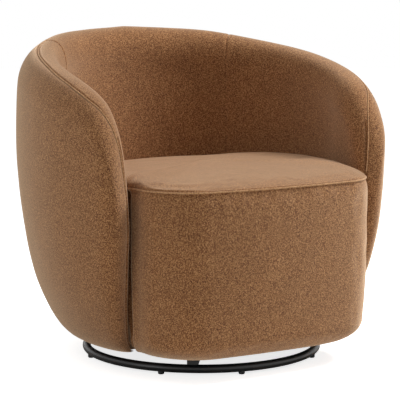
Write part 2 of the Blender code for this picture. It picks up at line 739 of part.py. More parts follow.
# Board that carries the seat box and the wall, with the dust cover under it
def make_boards():
    notch = front_cover_reach + board_notch
    behind = np.linspace(notch + board_notch / 2, math.tau - notch - board_notch / 2, 31)
    angles = np.concatenate([np.linspace(-notch, notch, 33), behind])
    inset = block_foot_roll + block_lean + cover_thickness + layer_clearance
    beside = side_clearance + cover_thickness + layer_clearance
    front = block_loop(angles, board_bottom, inset, beside)
    lining = middle_radius(0, underside) + half_thickness(0, underside, 1, outer_cover_depth)
    lining -= layer_clearance
    radius = np.hypot(front[:, 0], front[:, 1])
    beside_arm = inner_face_radius(np.array([notch]), board_bottom) - beside
    radius = np.where(np.abs(angles) > corner_end, np.minimum(radius, beside_arm), radius)
    radius = np.where(np.abs(angles) <= notch, radius, lining)
    loops = [loop_at(angles, radius, height) for height in (board_bottom, board_top)]
    board = add_object("base_board", stack_mesh("base_board", loops), plywood, seat_centre)
    cut(board, round_cutter("pin_room_cutter", pin_head_radius + pin_room, board_bottom - cut_overrun,
                            board_bottom + pin_head_height + pin_room, (0, 0), seat_centre))
    for index, place in enumerate(bolt_places(upper_bolt_circle, math.pi / 4)):
        cut(board, round_cutter(f"board_hole_cutter_{index + 1}", bolt_radius + hole_gap,
                                board_bottom - cut_overrun, board_top + cut_overrun, place, seat_centre))

    hole = np.full(len(angles), dust_cover_hole_radius)
    edge = radius - dust_cover_margin
    bottom, top = underside, board_bottom - touch_gap
    loops = [loop_at(angles, hole, bottom), loop_at(angles, edge, bottom),
             loop_at(angles, edge, top), loop_at(angles, hole, top), loop_at(angles, hole, bottom)]
    cloth = stack_mesh("dust_cover", loops)
    shape = bmesh.new()
    shape.from_mesh(cloth)
    bmesh.ops.delete(shape, geom=[face for face in shape.faces if len(face.verts) > 4], context="FACES")
    bmesh.ops.remove_doubles(shape, verts=shape.verts, dist=touch_gap / 10)
    shape.to_mesh(cloth)
    shape.free()
    add_object("dust_cover", cloth, black_cloth, seat_centre)


def make_seat_box():
    front = -(block_front - front_rail_inset)
    behind = front + rail_thickness
    add_object("front_rail", box_mesh("front_rail", (-front_rail_half_length, front, rail_bottom),
                                      (front_rail_half_length, behind, rail_top)), plywood, seat_centre)
    for name, side in (("side_rail_left", -1), ("side_rail_right", 1)):
        x = sorted((side * side_rail_offset, side * (side_rail_offset - rail_thickness)))
        add_object(name, box_mesh(name, (x[0], behind + touch_gap, rail_bottom),
                                  (x[1], rear_rail_offset, rail_top)), plywood, seat_centre)
    half = side_rail_offset - rail_thickness - touch_gap
    add_object("rear_rail", box_mesh("rear_rail", (-half, rear_rail_offset - rail_thickness, rail_bottom),
                                     (half, rear_rail_offset, rail_top)), plywood, seat_centre)


# Sinuous springs from the front rail to the rear rail, with a strip of clips over each end
def make_springs():
    front = -(block_front - front_rail_inset) + rail_thickness / 2
    rear = rear_rail_offset - rail_thickness / 2
    for index in range(spring_count):
        middle = (index - (spring_count - 1) / 2) * spring_spacing
        start, end = front + spring_tail, rear - spring_tail
        points = [(middle - spring_half_width, front, spring_height)]
        steps = spring_loops * 5
        for step in range(steps + 1):
            share = step / steps
            wave = math.cos(math.pi * spring_loops * share)
            square = math.copysign(math.sqrt(abs(wave)), wave)
            y = start + (end - start) * share
            rise = spring_rise * math.sin(math.pi * share)
            points.append((middle - spring_half_width * square, y, spring_height + rise))
        last = middle + spring_half_width * (1 if spring_loops % 2 else -1)
        points.append((last, rear, spring_height))
        tube_object(f"spring_{index + 1}", points, spring_wire_radius, spring_steel, seat_centre, 0)
    reach = (spring_count - 1) / 2 * spring_spacing + spring_half_width + clip_overhang
    low = spring_height + spring_wire_radius + touch_gap
    for name, y in (("front_clip_strip", front), ("rear_clip_strip", rear)):
        add_object(name, box_mesh(name, (-reach, y - clip_depth / 2, low),
                                  (reach, y + clip_depth / 2, low + clip_thickness)), zinc_steel, seat_centre)


def make_deck():
    depth = cover_thickness + touch_gap
    loops = []
    for height in (deck_bottom, deck_bottom + deck_thickness):
        loops.append(block_loop(loop_angles, height, block_inset(height) + depth, side_clearance + depth))
    add_object("deck_cloth", stack_mesh("deck_cloth", loops), black_cloth, seat_centre)


# Base: tube ring on glides, crossing bars and the swivel bearing
def make_base():
    turns = np.linspace(0, math.tau, 13)[:-1]
    profile = [(ring_radius + ring_tube_radius * math.cos(t), ring_height + ring_tube_radius * math.sin(t))
               for t in turns]
    add_object("base_ring", turned_mesh("base_ring", profile, 48, closed=True), black_steel,
               base_centre, 60.0)
    channel_radius = ring_tube_radius + touch_gap
    profile = [(ring_radius + channel_radius * math.cos(t), ring_height + channel_radius * math.sin(t))
               for t in turns]
    channel_mesh = turned_mesh("glide_channel_cutter", profile, 48, closed=True)
    channel = add_object("glide_channel_cutter", channel_mesh, nylon, base_centre)
    channel.hide_render = True
    channel.display_type = "WIRE"
    glide_top = ring_height - ring_tube_radius / 2
    sole = glide_radius * glide_sole_share
    shape = [(0, 0), (sole, 0), (glide_radius, glide_drop / 3), (glide_radius, glide_top), (0, glide_top)]
    for index in range(glide_count):
        quarter = math.pi / 2 * (index // 2)
        side = glide_half_spread if index % 2 else -glide_half_spread
        turn = quarter + side - math.pi / 2
        name = f"glide_{index + 1}"
        glide = add_object(name, turned_mesh(name, shape, 14), nylon, base_centre)
        glide.location = (ring_radius * math.cos(turn), ring_radius * math.sin(turn), 0)
        cut(glide, channel)

    bars = []
    reach = ring_radius + ring_tube_radius / 2
    half = bar_width / 2
    long_bar = add_object("cross_bar_long", box_mesh("cross_bar_long", (-half, -reach, bar_bottom),
                                                     (half, reach, bar_top)), black_steel, base_centre)
    bars.append(long_bar)
    for name, side in (("cross_bar_left", -1), ("cross_bar_right", 1)):
        x = sorted((side * (half + touch_gap), side * reach))
        bars.append(add_object(name, box_mesh(name, (x[0], -half, bar_bottom), (x[1], half, bar_top)),
                               black_steel, base_centre))
    for bar in bars:
        bar.rotation_euler = (0, 0, bar_turn)

    shank_bottom = bar_bottom + touch_gap
    head_bottom = lower_plate_top + touch_gap
    for index, place in enumerate(bolt_places(lower_bolt_circle, bar_turn)):
        name = f"lower_bolt_{index + 1}"
        profile = [(0, shank_bottom), (bolt_radius, shank_bottom), (bolt_radius, head_bottom),
                   (bolt_head_radius, head_bottom),
                   (bolt_head_radius, head_bottom + bolt_head_height * bolt_head_side_share),
                   (bolt_head_radius * bolt_head_top_share, head_bottom + bolt_head_height),
                   (0, head_bottom + bolt_head_height)]
        bolt = add_object(name, turned_mesh(name, profile, 12), zinc_steel, base_centre)
        bolt.location = (*place, 0)
        hole = round_cutter(f"lower_hole_cutter_{index + 1}", bolt_radius + hole_gap,
                            bar_bottom - cut_overrun, lower_plate_top + cut_overrun, place, base_centre)
        carrier = (bars[2], bars[0], bars[1], bars[0])[index]
        cut(carrier, hole)

    lower = make_plate("swivel_lower_plate", lower_plate_bottom, bar_turn + math.pi / 4, base_centre,
                       pin_radius)
    for index in range(4):
        cut(lower, bpy.data.objects[f"lower_hole_cutter_{index + 1}"])
    upper = make_plate("swivel_upper_plate", upper_plate_bottom, 0, seat_centre, pin_radius)
    for index, place in enumerate(bolt_places(upper_bolt_circle, math.pi / 4)):
        cut(upper, round_cutter(f"upper_hole_cutter_{index + 1}", bolt_radius + hole_gap,
                                upper_plate_bottom - cut_overrun, upper_plate_top + cut_overrun, place,
                                seat_centre))
        name = f"upper_bolt_{index + 1}"
        head_top = upper_plate_bottom - touch_gap
        end = board_top - touch_gap
        profile = [(0, head_top - bolt_head_height),
                   (bolt_head_radius * bolt_head_top_share, head_top - bolt_head_height),
                   (bolt_head_radius, head_top - bolt_head_height * bolt_head_side_share),
                   (bolt_head_radius, head_top),
                   (bolt_radius, head_top), (bolt_radius, end), (0, end)]
        bolt = add_object(name, turned_mesh(name, profile, 12), zinc_steel, seat_centre)
        bolt.location = (*place, 0)

    low, high = lower_plate_top + touch_gap, upper_plate_bottom - touch_gap
    inner, outer = bearing_radius - bearing_width / 2, bearing_radius + bearing_width / 2
    belly = ball_radius * cage_inset_share
    cage = add_object("ball_cage", turned_mesh("ball_cage", [(inner, low + belly), (outer, low + belly),
                                                             (outer, high - belly), (inner, high - belly)],
                                               32, closed=True), nylon, base_centre)
    for index in range(ball_count):
        turn = math.tau * index / ball_count
        shape = bmesh.new()
        bmesh.ops.create_uvsphere(shape, u_segments=8, v_segments=4, radius=(high - low) / 2)
        mesh = bpy.data.meshes.new(f"ball_{index + 1}")
        shape.to_mesh(mesh)
        shape.free()
        ball = add_object(f"ball_{index + 1}", mesh, zinc_steel, base_centre)
        ball.location = (bearing_radius * math.cos(turn), bearing_radius * math.sin(turn), (low + high) / 2)
        ball.hide_render = True
        ball.display_type = "WIRE"
        cut(cage, ball, "UNION")

    foot = lower_plate_bottom
    under_head = upper_plate_top + touch_gap
    pin = [(0, foot), (pin_radius, foot), (pin_radius, under_head), (pin_head_radius, under_head),
           (pin_head_radius, under_head + pin_head_height), (0, under_head + pin_head_height)]
    add_object("swivel_pin", turned_mesh("swivel_pin", pin, 20), zinc_steel, base_centre)


def make_plate(name, bottom, turn, parent, hole_radius):
    half = plate_side / 2
    plate = add_object(name, box_mesh(name, (-half, -half, bottom), (half, half, bottom + plate_thickness)),
                       zinc_steel, parent)
    plate.rotation_euler = (0, 0, turn)
    cut(plate, round_cutter(f"{name}_cutter", hole_radius + hole_gap, bottom - cut_overrun,
                            bottom + plate_thickness + cut_overrun, (0, 0), parent))
    return plate


make_base()
make_boards()
make_seat_box()
make_springs()
make_deck()
make_wall_frame()
make_wall_foam()
make_wall_covers()
make_piping()
make_front_foam()
make_front_cover()
make_seat()
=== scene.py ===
# Swivel barrel chair: upholstery, base finishes and studio, over the fixed frame
import json
import math

import bmesh
import bpy
import numpy as np
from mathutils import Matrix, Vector, noise


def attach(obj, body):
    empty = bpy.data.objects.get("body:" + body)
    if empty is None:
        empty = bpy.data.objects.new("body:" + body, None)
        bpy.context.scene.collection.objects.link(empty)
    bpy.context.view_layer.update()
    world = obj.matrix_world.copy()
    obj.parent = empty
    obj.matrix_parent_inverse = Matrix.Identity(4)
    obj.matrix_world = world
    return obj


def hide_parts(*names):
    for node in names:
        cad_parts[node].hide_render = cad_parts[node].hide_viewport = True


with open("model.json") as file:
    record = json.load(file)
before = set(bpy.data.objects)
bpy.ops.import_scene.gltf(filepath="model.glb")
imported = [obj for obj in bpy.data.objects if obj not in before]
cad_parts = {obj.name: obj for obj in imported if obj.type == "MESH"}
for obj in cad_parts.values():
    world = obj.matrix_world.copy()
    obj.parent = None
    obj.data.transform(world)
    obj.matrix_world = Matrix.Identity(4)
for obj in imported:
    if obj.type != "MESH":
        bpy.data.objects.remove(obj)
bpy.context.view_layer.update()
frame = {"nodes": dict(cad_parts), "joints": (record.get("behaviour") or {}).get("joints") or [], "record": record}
nodes = frame["nodes"]
print("frame loaded, pieces:", len(nodes))

swivelY = frame["joints"][0]["pos_m"][1]    # everything below is drawn about the swivel axis


def curveThrough(x, xs, ys):
    # smooth curve through a table, never overshooting it
    xs, ys = np.asarray(xs, float), np.asarray(ys, float)
    x = np.clip(np.asarray(x, float), xs[0], xs[-1])
    slope = np.diff(ys) / np.diff(xs)
    same = slope[:-1] * slope[1:] > 0
    total = np.where(same, slope[:-1] + slope[1:], 1.0)
    inner = np.where(same, 2 * slope[:-1] * slope[1:] / total, 0.0)
    tangent = np.concatenate([slope[:1], inner, slope[-1:]])
    i = np.clip(np.searchsorted(xs, x, side="right") - 1, 0, len(xs) - 2)
    w = xs[i + 1] - xs[i]
    t = (x - xs[i]) / w
    return (ys[i] * (1 + 2 * t) * (1 - t) ** 2 + ys[i + 1] * t * t * (3 - 2 * t)
            + w * (tangent[i] * t * (1 - t) ** 2 - tangent[i + 1] * t * t * (1 - t)))


def smoothStep(share):
    return share * share * (3 - 2 * share)


def softNoise(points, size, seed):
    # smooth 3-D noise, -1 to 1, features of about the given size in metres
    shift = Vector((seed * 3.1, seed * 1.7, seed * 2.3))
    return np.array([noise.noise(Vector(p) / size + shift) for p in points])


def makeSurface(name, grid, material, wrap=False, cap=False):
    # rows x columns of points to a smooth sheet, wrapped round its columns if asked
    rows, cols = grid.shape[:2]
    mesh = bpy.data.meshes.new(name)
    points = grid.reshape(-1, 3) + np.array([0, swivelY, 0])
    faces = []
    last = cols if wrap else cols - 1
    for r in range(rows - 1):
        for c in range(last):
            d = (c + 1) % cols
            faces.append((r * cols + c, r * cols + d, (r + 1) * cols + d, (r + 1) * cols + c))
    if cap:
        faces.append(tuple((rows - 1) * cols + c for c in range(cols)))
    mesh.from_pydata([tuple(p) for p in points], [], faces)
    mesh.validate()
    mesh.shade_smooth()
    mesh.materials.append(material)
    piece = bpy.data.objects.new(name, mesh)
    bpy.context.collection.objects.link(piece)
    return piece


weldDistance = 0.00002


def joinAndTurn(piece, centre=None):
    # welds a sheet's meeting edges and turns its faces outward, or an open sheet's away from the centre given
    bm = bmesh.new()
    bm.from_mesh(piece.data)
    bmesh.ops.remove_doubles(bm, verts=bm.verts, dist=weldDistance)
    bmesh.ops.recalc_face_normals(bm, faces=bm.faces)
    if centre:
        widest = max(bm.faces, key=lambda f: f.calc_area())
        if widest.normal.dot(widest.calc_center_median() - Vector(centre)) <= 0:
            bmesh.ops.reverse_faces(bm, faces=bm.faces)
    bm.to_mesh(piece.data)
    bm.free()
    piece.data.shade_smooth()


def ripple(piece, layers):
    # moves the cloth along its normals by layers of (size, depth, seed)
    mesh = piece.data
    count = len(mesh.vertices)
    co = np.zeros(count * 3)
    no = np.zeros(count * 3)
    mesh.vertices.foreach_get("co", co)
    mesh.vertices.foreach_get("normal", no)
    co, no = co.reshape(-1, 3), no.reshape(-1, 3)
    move = sum(depth * softNoise(co, size, seed) for size, depth, seed in layers)
    mesh.vertices.foreach_set("co", (co + no * move[:, None]).ravel())
    mesh.update()


clothRun = {"frames": 14, "quality": 5, "mass": 0.3, "tension": 20, "shear": 8, "bending": 0.6}


def settleCloth(piece, held, pressure, slack, cap):
    # a short cloth run on the finished form: held along its seams, the cloth fills and puckers between them
    scene = bpy.context.scene
    before = np.zeros(len(piece.data.vertices) * 3)
    piece.data.vertices.foreach_get("co", before)
    group = piece.vertex_groups.new(name="heldAtSeam")
    group.add([int(i) for i in held(before.reshape(-1, 3))], 1.0, "REPLACE")
    cloth = piece.modifiers.new("fillAndPucker", "CLOTH")
    cloth.settings.quality = clothRun["quality"]
    cloth.settings.mass = clothRun["mass"]
    cloth.settings.tension_stiffness = cloth.settings.compression_stiffness = clothRun["tension"]
    cloth.settings.shear_stiffness = clothRun["shear"]
    cloth.settings.bending_stiffness = clothRun["bending"]
    cloth.settings.use_pressure = True
    cloth.settings.uniform_pressure_force = pressure
    cloth.settings.shrink_min = -slack
    cloth.settings.vertex_group_mass = group.name
    cloth.settings.effector_weights.gravity = 0
    cloth.collision_settings.use_collision = False
    cloth.collision_settings.use_self_collision = False
    cloth.point_cache.frame_start, cloth.point_cache.frame_end = 1, clothRun["frames"]
    for step in range(1, clothRun["frames"] + 1):
        scene.frame_set(step)
    evaluated = piece.evaluated_get(bpy.context.evaluated_depsgraph_get())
    after = np.zeros(before.size)
    evaluated.to_mesh().vertices.foreach_get("co", after)
    evaluated.to_mesh_clear()
    piece.modifiers.remove(cloth)
    piece.vertex_groups.remove(group)
    scene.frame_set(1)
    # stretched cloth moves little, so the longer moves are eased down to the cap
    move = (after - before).reshape(-1, 3)
    far = np.linalg.norm(move, axis=1)
    move *= (cap * np.tanh(far / cap) / np.maximum(far, 1e-9))[:, None]
    piece.data.vertices.foreach_set("co", before + move.ravel())
    piece.data.update()
    print(piece.name, "settled, moved mm:", round(1000 * float(np.linalg.norm(move, axis=1).max()), 2))


def makeCord(name, points, radius, material):
    curve = bpy.data.curves.new(name, "CURVE")
    curve.dimensions = "3D"
    curve.bevel_depth = radius
    curve.bevel_resolution = 3
    curve.use_fill_caps = True
    line = curve.splines.new("POLY")
    line.points.add(len(points) - 1)
    for slot, p in zip(line.points, points):
        slot.co = (p[0], p[1] + swivelY, p[2], 1)
    line.use_smooth = True
    curve.materials.append(material)
    piece = bpy.data.objects.new(name, curve)
    bpy.context.collection.objects.link(piece)
    return piece


def hexColor(text):
    # sRGB hex to linear
    out = []
    for i in (1, 3, 5):
        v = int(text[i:i + 2], 16) / 255
        out.append(v / 12.92 if v <= 0.04045 else ((v + 0.055) / 1.055) ** 2.4)
    return (*out, 1.0)


def addNode(material, kind, settings=None, links=None):
    # one node with its settings; links are {input: (node, output)}
    tree = material.node_tree
    node = tree.nodes.new(kind)
    for key, value in (settings or {}).items():
        if isinstance(key, str) and hasattr(node, key):
            setattr(node, key, value)
        else:
            node.inputs[key].default_value = value
    for key, (source, output) in (links or {}).items():
        tree.links.new(source.outputs[output], node.inputs[key])
    return node


def newMaterial(name, color, roughness, metallic=0.0):
    material = bpy.data.materials.new(name)
    material.use_nodes = True
    shader = material.node_tree.nodes["Principled BSDF"]
    shader.inputs["Base Color"].default_value = hexColor(color)
    shader.inputs["Roughness"].default_value = roughness
    shader.inputs["Metallic"].default_value = metallic
    return material, shader


def setRamp(ramp, stops):
    # stops are (place, hex)
    line = ramp.color_ramp
    while len(line.elements) < len(stops):
        line.elements.new(0.5)
    for element, (place, color) in zip(line.elements, stops):
        element.position = place
        element.color = hexColor(color)


def addPattern(material, kind, sizeMm, settings=None):
    # noise or cells over the piece itself, with features about sizeMm across
    place = addNode(material, "ShaderNodeTexCoord")
    return addNode(material, kind, {"Scale": 1000 / sizeMm, **(settings or {})}, {"Vector": (place, "Object")})


def addRange(material, source, low, high, span=(0.0, 1.0)):
    return addNode(material, "ShaderNodeMapRange", {"From Min": span[0], "From Max": span[1],
                                                    "To Min": low, "To Max": high}, {"Value": source})


def addMix(material, share, first, second):
    return addNode(material, "ShaderNodeMix", {"data_type": "FLOAT", 0: share}, {2: first, 3: second})


def addBump(material, shader, height, strength, depthMm):
    bump = addNode(material, "ShaderNodeBump", {"Strength": strength, "Distance": depthMm / 1000},
                   {"Height": height})
    material.node_tree.links.new(bump.outputs["Normal"], shader.inputs["Normal"])


# Woven polyester tweed, piece dyed: slubby yarns of two browns cross in a plain weave and give a heathered
# camel cloth, with a short nap that goes pale where it is seen along the surface.
tweed = {
    # the palest colour serves only the welt's lighter copy of the cloth: painted highlight
    "dark": "#5a2f18", "body": "#86562e", "light": "#bb8b5d", "paintedHighlight": "#c9a075",
    "stops": (0.45, 0.50, 0.56),
    "yarnMm": 1.2,          # the real yarn is about 0.8 mm; drawn coarser so that the weave shows
    "slubMm": 2.8,          # length of a thick place in a yarn
    "patchMm": 60.0,        # clouds where the dye took a little more or less
    "patchSpan": (0.3, 0.7), "patchTone": (0.95, 1.05),
    "crossShare": 0.5, "endShare": 0.45, "slubShare": 0.28,
    "yarnDetail": 1.5, "yarnRoughness": 0.6, "slubRoughness": 0.7,
    "nap": 1.0, "napRoughness": 0.5, "napTint": "#ffdebc",
    "roughness": 0.9, "shine": 0.2, "yarnHeightMm": 0.8, "relief": 0.6,
}


def makeTweed(name, dark, body, light):
    material, shader = newMaterial(name, body, tweed["roughness"])
    shader.inputs["Specular IOR Level"].default_value = tweed["shine"]
    shader.inputs["Sheen Weight"].default_value = tweed["nap"]
    shader.inputs["Sheen Roughness"].default_value = tweed["napRoughness"]
    shader.inputs["Sheen Tint"].default_value = hexColor(tweed["napTint"])
    place = addNode(material, "ShaderNodeTexCoord")
    across, along = 1000 / tweed["yarnMm"], 1000 / tweed["slubMm"]
    # yarns along each of the three directions: any face shows two of them crossing, and the ends of the third
    yarns = []
    for scale in ((along, across, across), (across, along, across), (across, across, along)):
        stretch = addNode(material, "ShaderNodeMapping", {"Scale": scale}, {"Vector": (place, "Object")})
        yarns.append(addNode(material, "ShaderNodeTexNoise",
                             {"Scale": 1.0, "Detail": tweed["yarnDetail"], "Roughness": tweed["yarnRoughness"]},
                             {"Vector": (stretch, "Vector")}))
    crossed = addMix(material, tweed["crossShare"], (yarns[0], "Fac"), (yarns[1], "Fac"))
    cloth = addMix(material, tweed["endShare"], (crossed, 0), (yarns[2], "Fac"))
    slubs = addPattern(material, "ShaderNodeTexNoise", tweed["slubMm"],
                       {"Detail": 2.0, "Roughness": tweed["slubRoughness"]})
    mottled = addMix(material, tweed["slubShare"], (cloth, 0), (slubs, "Fac"))
    colors = addNode(material, "ShaderNodeValToRGB", links={"Fac": (mottled, 0)})
    setRamp(colors, list(zip(tweed["stops"], (dark, body, light))))
    patch = addPattern(material, "ShaderNodeTexNoise", tweed["patchMm"], {"Detail": 2.0})
    wear = addRange(material, (patch, "Fac"), *tweed["patchTone"], tweed["patchSpan"])
    tone = addNode(material, "ShaderNodeHueSaturation",
                   links={"Value": (wear, "Result"), "Color": (colors, "Color")})
    material.node_tree.links.new(tone.outputs["Color"], shader.inputs["Base Color"])
    addBump(material, shader, (cloth, 0), tweed["relief"], tweed["yarnHeightMm"])
    return material


# Steel tube and flat bar, powder coated satin black: even and dark, with a faint orange peel in its highlight.
powderCoat = {"color": "#141516", "roughness": (0.30, 0.44), "cloudMm": 40.0,
              "peelMm": 1.6, "peelRelief": 0.12, "peelDepthMm": 0.3}


def makePowderCoat():
    material, shader = newMaterial("powderCoatedSteelBlack", powderCoat["color"], powderCoat["roughness"][0])
    peel = addPattern(material, "ShaderNodeTexNoise", powderCoat["peelMm"], {"Detail": 2.0})
    cloud = addPattern(material, "ShaderNodeTexNoise", powderCoat["cloudMm"], {"Detail": 3.0})
    rough = addRange(material, (cloud, "Fac"), *powderCoat["roughness"])
    material.node_tree.links.new(rough.outputs["Result"], shader.inputs["Roughness"])
    addBump(material, shader, (peel, "Fac"), powderCoat["peelRelief"], powderCoat["peelDepthMm"])
    return material


# Pressed steel, zinc plated: cool grey with a crystalline bloom. Spring wire, drawn and oil tempered: the same
# cloudy shine, but dark.
metal = {"bloomMm": 6.0, "shinier": 0.08, "duller": 0.12,
         "zincColor": "#b9bcbe", "zincRoughness": 0.34, "springColor": "#5b5a58", "springRoughness": 0.42}


def makeMetal(name, color, roughness):
    material, shader = newMaterial(name, color, roughness, 1.0)
    bloom = addPattern(material, "ShaderNodeTexVoronoi", metal["bloomMm"])
    rough = addRange(material, (bloom, "Distance"), roughness - metal["shinier"], roughness + metal["duller"])
    material.node_tree.links.new(rough.outputs["Result"], shader.inputs["Roughness"])
    return material


# Poplar plywood, sawn and left raw: pale long grain. Hardboard, pressed from wood fibre: brown, with a short
# dense grain.
wood = {"roughness": 0.65, "lengthwise": (1.0, 1.0, 0.12), "stops": (0.35, 0.65), "waviness": 0.6,
        "plywoodColors": ("#c9a97e", "#a07d55"), "plywoodGrainMm": 9.0,
        "hardboardColors": ("#7a5334", "#5f3f27"), "hardboardGrainMm": 3.0}


def makeWood(name, pale, dark, grainMm):
    material, shader = newMaterial(name, pale, wood["roughness"])
    place = addNode(material, "ShaderNodeTexCoord")
    stretch = addNode(material, "ShaderNodeMapping", {"Scale": wood["lengthwise"]}, {"Vector": (place, "Object")})
    grain = addNode(material, "ShaderNodeTexNoise",
                    {"Scale": 1000 / grainMm, "Detail": 5.0, "Distortion": wood["waviness"]},
                    {"Vector": (stretch, "Vector")})
    colors = addNode(material, "ShaderNodeValToRGB", links={"Fac": (grain, "Fac")})
    setRamp(colors, list(zip(wood["stops"], (dark, pale))))
    material.node_tree.links.new(colors.outputs["Color"], shader.inputs["Base Color"])
    return material


# Nylon, injection moulded: black with a fine spark-eroded grain.
nylon = {"color": "#1a1a1b", "roughness": 0.5, "pattern": "ShaderNodeTexNoise", "height": "Fac",
         "sizeMm": 0.8, "settings": {}, "relief": 0.2, "depthMm": 0.2}
# Open-cell polyurethane foam, cut: cream, with fine pores.
foam = {"color": "#e6dcc0", "roughness": 0.95, "pattern": "ShaderNodeTexVoronoi", "height": "Distance",
        "sizeMm": 1.5, "settings": {}, "relief": 0.5, "depthMm": 0.8}
# Spunbond polypropylene, heat pressed: thin black cloth with a dimpled print.
spunbond = {"color": "#1b1b1c", "roughness": 0.9, "pattern": "ShaderNodeTexVoronoi", "height": "Distance",
            "sizeMm": 2.5, "settings": {"Randomness": 0.25}, "relief": 0.5, "depthMm": 0.4}


def makeGrained(name, look):
    # one plain colour with a fine relief
    material, shader = newMaterial(name, look["color"], look["roughness"])
    grain = addPattern(material, look["pattern"], look["sizeMm"], look["settings"])
    addBump(material, shader, (grain, look["height"]), look["relief"], look["depthMm"])
    return material


clothMaterial = makeTweed("wovenTweedCamel", tweed["dark"], tweed["body"], tweed["light"])
# the welt and piping are cut on the bias; they are drawn in a lighter copy of the cloth, a painted highlight where
# the raised cord catches the light
weltPaintedHighlightMaterial = makeTweed("wovenTweedWeltPaintedHighlight", tweed["body"], tweed["light"], tweed["paintedHighlight"])
slotMaterials = {
    "camel_weave": clothMaterial,
    "black_steel": makePowderCoat(),
    "zinc_steel": makeMetal("zincPlatedSteel", metal["zincColor"], metal["zincRoughness"]),
    "spring_steel": makeMetal("oiledSpringSteel", metal["springColor"], metal["springRoughness"]),
    "nylon": makeGrained("mouldedNylonBlack", nylon),
    "plywood": makeWood("poplarPlywoodRaw", *wood["plywoodColors"], wood["plywoodGrainMm"]),
    "hardboard": makeWood("hardboardBrown", *wood["hardboardColors"], wood["hardboardGrainMm"]),
    "foam": makeGrained("cutFoamCream", foam),
    "black_cloth": makeGrained("spunbondClothBlack", spunbond),
}
for part in frame["record"]["subparts"]:
    for slot in nodes[part["node"]].material_slots:
        slot.material = slotMaterials[part["material_slot"]]
print("materials ready:", len(slotMaterials))


# the camera stands on the photograph's line of sight
cameraView = {"distance": 4.0, "heightAngle": 12.2, "sideAngle": 33.0, "pitch": 7.45, "aimHeight": 0.0145,
              "focalPixels": 1720.0, "imagePixels": 400.0, "offsetPixels": 1.4, "sensorMm": 36.0}


def addCamera():
    side, up = math.radians(cameraView["sideAngle"]), math.radians(cameraView["heightAngle"])
    data = bpy.data.cameras.new("studioCamera")
    data.sensor_width = cameraView["sensorMm"]
    data.lens = cameraView["sensorMm"] * cameraView["focalPixels"] / cameraView["imagePixels"]
    data.shift_x = -cameraView["offsetPixels"] / cameraView["imagePixels"]
    camera = bpy.data.objects.new("studioCamera", data)
    bpy.context.collection.objects.link(camera)
    d = cameraView["distance"]
    camera.location = (-math.sin(side) * math.cos(up) * d, swivelY - math.cos(side) * math.cos(up) * d,
                       cameraView["aimHeight"] + math.sin(up) * d)
    camera.rotation_euler = (math.radians(90 - cameraView["pitch"]), 0, -side)
    bpy.context.scene.camera = camera


addCamera()
print("camera placed")


# barrel wall: outer cover, inner cover and the piping between them
wall = {
    "height": 0.737, "foot": 0.0462, "radius": 0.4207,
    "thickness": 0.098, "footThickness": 0.060, "fullHeight": 0.25,
    "armAngle": math.radians(122.5), "tipLength": 0.049, "innerTaper": 0.125,
    "roll": 0.072, "innerFoot": 0.0626,
    "hem": 0.014, "hemPinch": 0.8, "hemLift": 0.0006, "hemShares": (1.5, 0.75, 0.25),
    "outerRoundness": 2.8, "innerRoundness": 2.0,
    "grooveDepth": 0.0034, "grooveWidth": 0.0032, "leastPace": 0.008, "tipGroove": 0.02,
    "cordRadius": 0.0014, "cordSink": 0.0014, "cordSkips": 6,
    "spread": 0.0135, "spreadStart": math.radians(75.0),
    # two plain seams down the inner cover, where its back panel meets the side panels
    "panelSeams": (math.radians(48.0), math.radians(-44.0)), "panelDepth": 0.0024, "panelWidth": 0.0024,
    "panelStepsMm": (0.9, 1.8, 2.8, 4, 5.5, 8), "panelClear": 0.010, "panelFade": 0.05, "rightShare": 0.6,
    "tipColumns": 30, "backColumns": 169, "sideRows": 46, "innerRows": 44, "outerTurns": 29, "innerTurns": 39,
    "ripples": [(0.16, 0.0011, 1), (0.05, 0.0004, 2)],
}
# each curve: places, then values; heights as shares of the wall's height, crest angles of the arm angle
wallCurves = {
    "outline": ((0.0, 0.04, 0.11, 0.22, 0.37, 0.51, 0.66, 0.80, 0.89, 1.0),
                (0.705, 0.775, 0.844, 0.914, 0.962, 0.988, 1.0, 0.992, 0.975, 0.945)),
    "crest": ((0.0, 0.245, 0.49, 0.653, 0.776, 0.857, 0.914, 0.955, 0.984, 1.0),
              (1.0, 0.986, 0.944, 0.909, 0.874, 0.842, 0.805, 0.744, 0.657, 0.512)),
    "lean": ((0.0, 0.11, 0.30, 0.42, 1.0), (0.935, 0.965, 0.99, 1.0, 1.0)),
    "spread": ((0.0, 0.30, 0.45, 0.63, 0.80, 1.0), (0.8, 1.0, 0.72, 0.5, 0.15, 0.0)),
    # degrees from the back, then degrees down from the top of the roll
    "seam": ((0, 60, 80, 95, 110, 118, 122.5), (14, 14, 16, 24, 30, 12, 4)),
}
middleRadius = wall["radius"] - wall["thickness"] / 2
wallHeight = wall["height"] - wall["foot"]


def heightShare(z):
    return (np.asarray(z, float) - wall["foot"]) / wallHeight


def leanAt(z):
    return curveThrough(heightShare(z), *wallCurves["lean"])


def thicknessAt(z):
    s = np.clip((np.asarray(z, float) - wall["foot"]) / (wall["fullHeight"] - wall["foot"]), 0, 1)
    return wall["footThickness"] + (wall["thickness"] - wall["footThickness"]) * smoothStep(s)


def centreRadius(angle, z):
    # the lower arm fronts stand a little outside the round of the plan
    share = np.clip((np.abs(angle) - wall["spreadStart"]) / (wall["armAngle"] - wall["spreadStart"]), 0, 1)
    spread = wall["spread"] * curveThrough(heightShare(z), *wallCurves["spread"])
    outline = wall["radius"] * curveThrough(heightShare(z), *wallCurves["outline"])
    return outline - thicknessAt(z) / 2 + spread * smoothStep(share)


def crestAt(angle):
    return wall["foot"] + wallHeight * curveThrough(np.abs(angle) / wall["armAngle"], *wallCurves["crest"])


